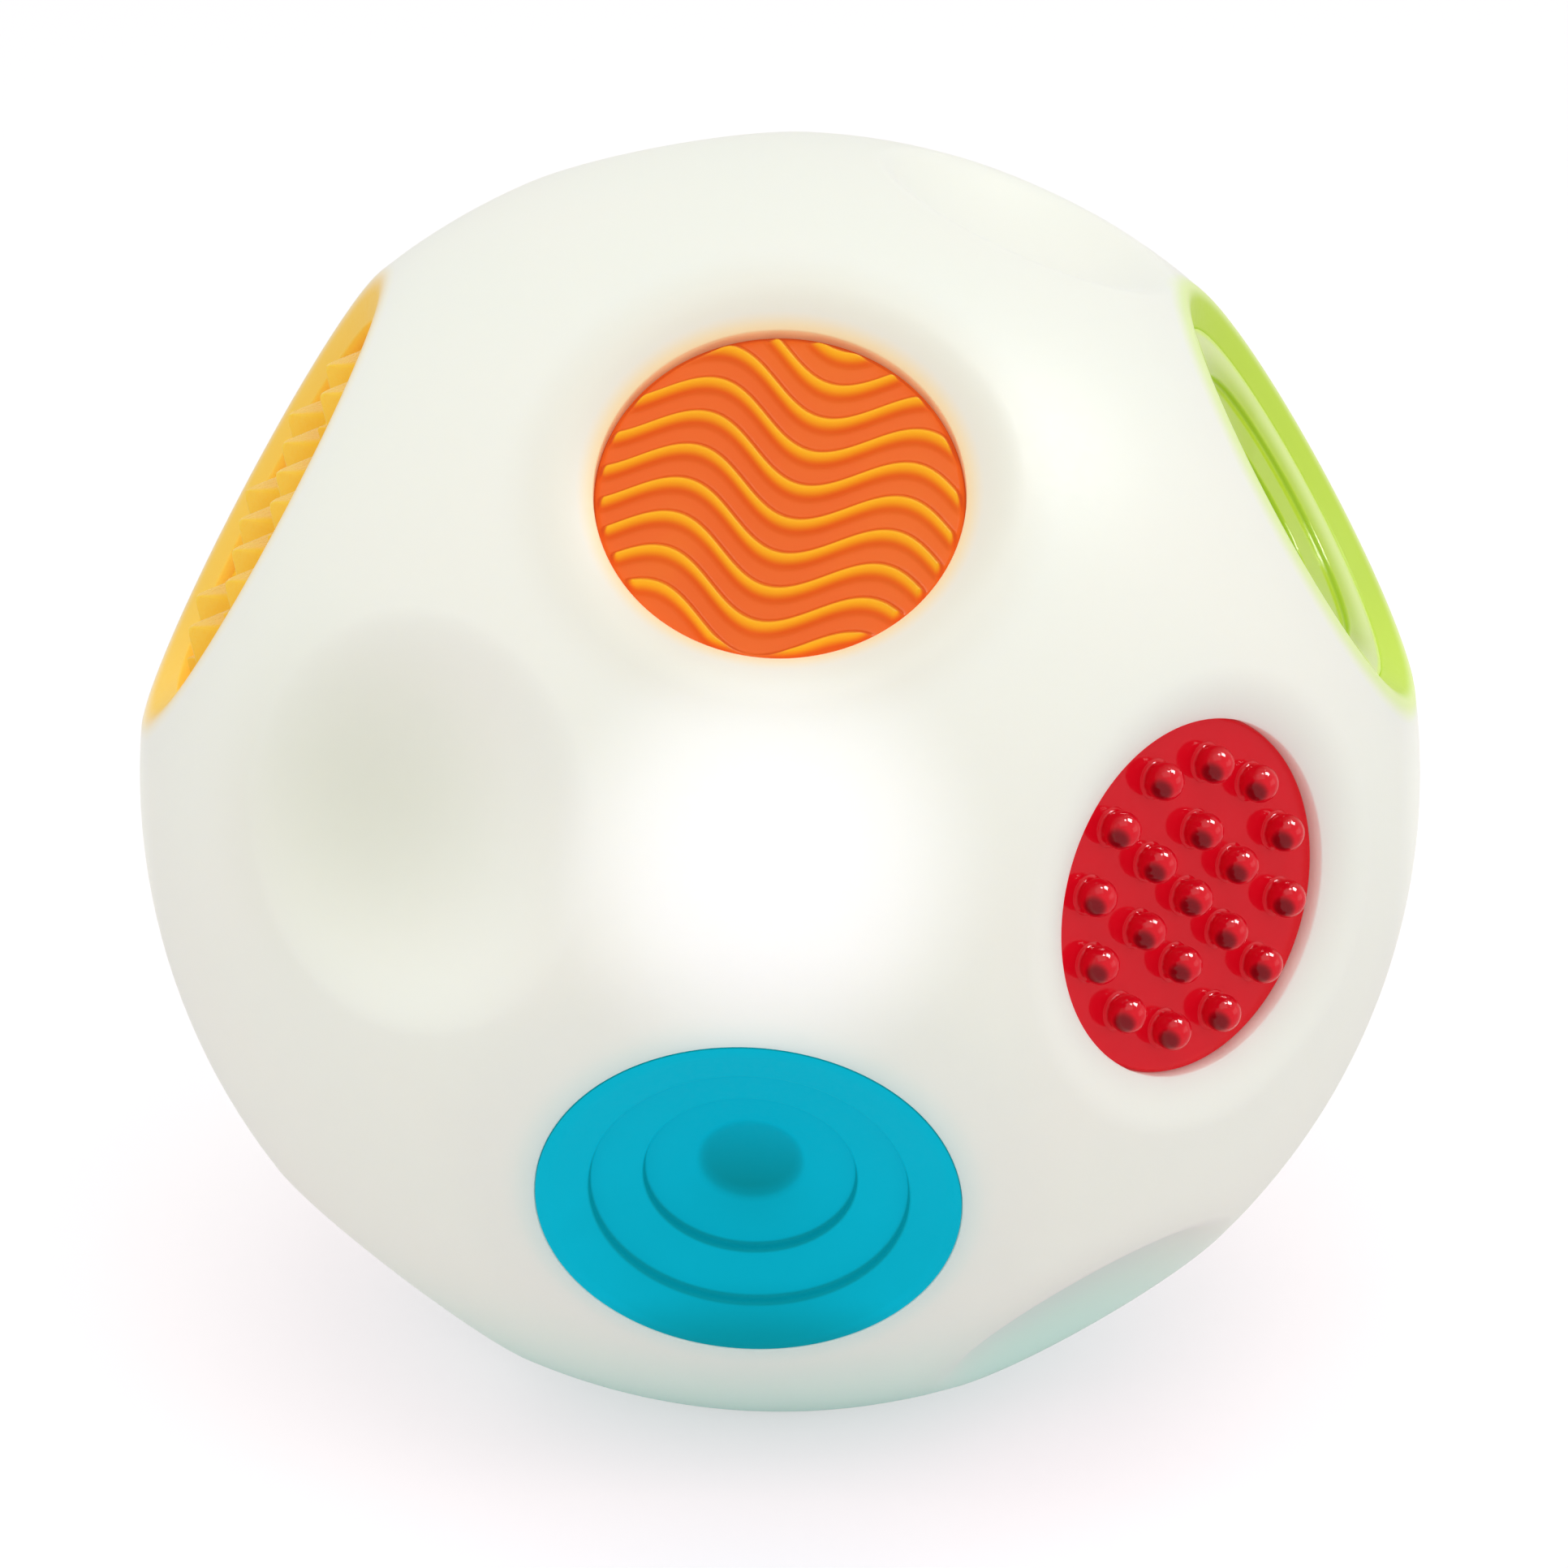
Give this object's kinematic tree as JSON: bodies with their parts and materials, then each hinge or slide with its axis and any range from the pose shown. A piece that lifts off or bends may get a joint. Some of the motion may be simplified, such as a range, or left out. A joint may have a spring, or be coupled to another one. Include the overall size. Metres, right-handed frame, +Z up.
{
  "type": "sensory ball",
  "caption": "Light-up sensory ball with a soft milky skin, round finger dishes, coloured texture discs and a light and sound module in its flat base.",
  "frame": {"origin": "on the floor under the ball's centre, at the foot of the flat base", "axes": "+Z up out of the top of the ball, -Y towards the front with the orange wave disc, +X right"},
  "size_m": [0.136, 0.136, 0.1317],
  "materials": {
    "skin": "soft milky satin, lets light through",
    "wave_orange": "glossy, lets light through",
    "nub_red": "glossy, lets light through",
    "step_blue": "satin, lets light through",
    "step_green": "glossy, lets light through",
    "pyramid_yellow": "glossy, lets light through",
    "shell_white": "fine satin",
    "diffuser": "frosted, lets light through",
    "screw_steel": "bright zinc",
    "seal": "matt",
    "cell_sleeve": "satin",
    "contact_metal": "plated",
    "spring_steel": "bright",
    "board_green": "solder mask",
    "lamp_red": "clear tinted",
    "lamp_green": "clear tinted",
    "lamp_blue": "clear tinted",
    "lamp_white": "clear",
    "chip_epoxy": "poured epoxy",
    "capacitor_sleeve": "sleeved",
    "resistor": "lacquer",
    "sensor_metal": "plated",
    "sensor_brass": "polished",
    "speaker_steel": "plated",
    "magnet": "matt",
    "cone": "matt",
    "switch_metal": "plated",
    "knob": "satin",
    "wire_red": "satin",
    "wire_orange": "satin",
    "wire_black": "satin"
  },
  "bodies": {
    "shell": {"ball_skin": "skin", "wave_disc": "wave_orange", "nub_disc": "nub_red", "blue_disc": "step_blue", "green_disc": "step_green", "pyramid_disc": "pyramid_yellow", "base_plate": "shell_white", "housing": "shell_white", "diffuser": "diffuser", "housing_screws": "screw_steel", "battery_1": "cell_sleeve", "battery_2": "cell_sleeve", "battery_3": "cell_sleeve", "top_contacts": "contact_metal", "circuit_board": "board_green", "board_screws": "screw_steel", "lamp_1": "lamp_red", "lamp_2": "lamp_green", "lamp_3": "lamp_blue", "lamp_4": "lamp_white", "sound_chip": "chip_epoxy", "capacitor": "capacitor_sleeve", "resistors": "resistor", "sensor_can": "sensor_metal", "speaker_frame": "speaker_steel", "speaker_magnet": "magnet", "switch_case": "switch_metal", "battery_wires": "wire_red", "speaker_wires": "wire_orange", "switch_wires": "wire_black"},
    "door": {"battery_door": "shell_white", "door_seal": "seal", "door_contacts": "contact_metal", "battery_springs": "spring_steel"},
    "screw_1": {"door_screw_1": "screw_steel"},
    "screw_2": {"door_screw_2": "screw_steel"},
    "knob": {"switch_knob": "knob"},
    "sensor": {"sensor_ball": "sensor_brass"},
    "cone": {"speaker_cone": "cone"}
  },
  "joints": [
    {"name": "door_slide", "type": "slide", "parent": "shell", "child": "door", "axis": [0, 0, -1], "range_m": [0, 0.03]},
    {"name": "door_screw_1_turn", "type": "hinge", "parent": "door", "child": "screw_1", "pos_m": [0.0156, 0, 0], "axis": [0, 0, 1], "continuous": true},
    {"name": "door_screw_2_turn", "type": "hinge", "parent": "door", "child": "screw_2", "pos_m": [-0.0156, 0, 0], "axis": [0, 0, 1], "continuous": true},
    {"name": "switch_slide", "type": "slide", "parent": "shell", "child": "knob", "axis": [1, 0, 0], "range_m": [0, 0.003]},
    {"name": "sensor_ball_slide", "type": "slide", "parent": "shell", "child": "sensor", "axis": [0, 0, 1], "range_m": [0, 0.0016]},
    {"name": "speaker_cone_move", "type": "slide", "parent": "shell", "child": "cone", "axis": [0, 0, 1], "range_m": [-0.0005, 0.0005], "stiffness_N_per_m": 500}
  ]
}
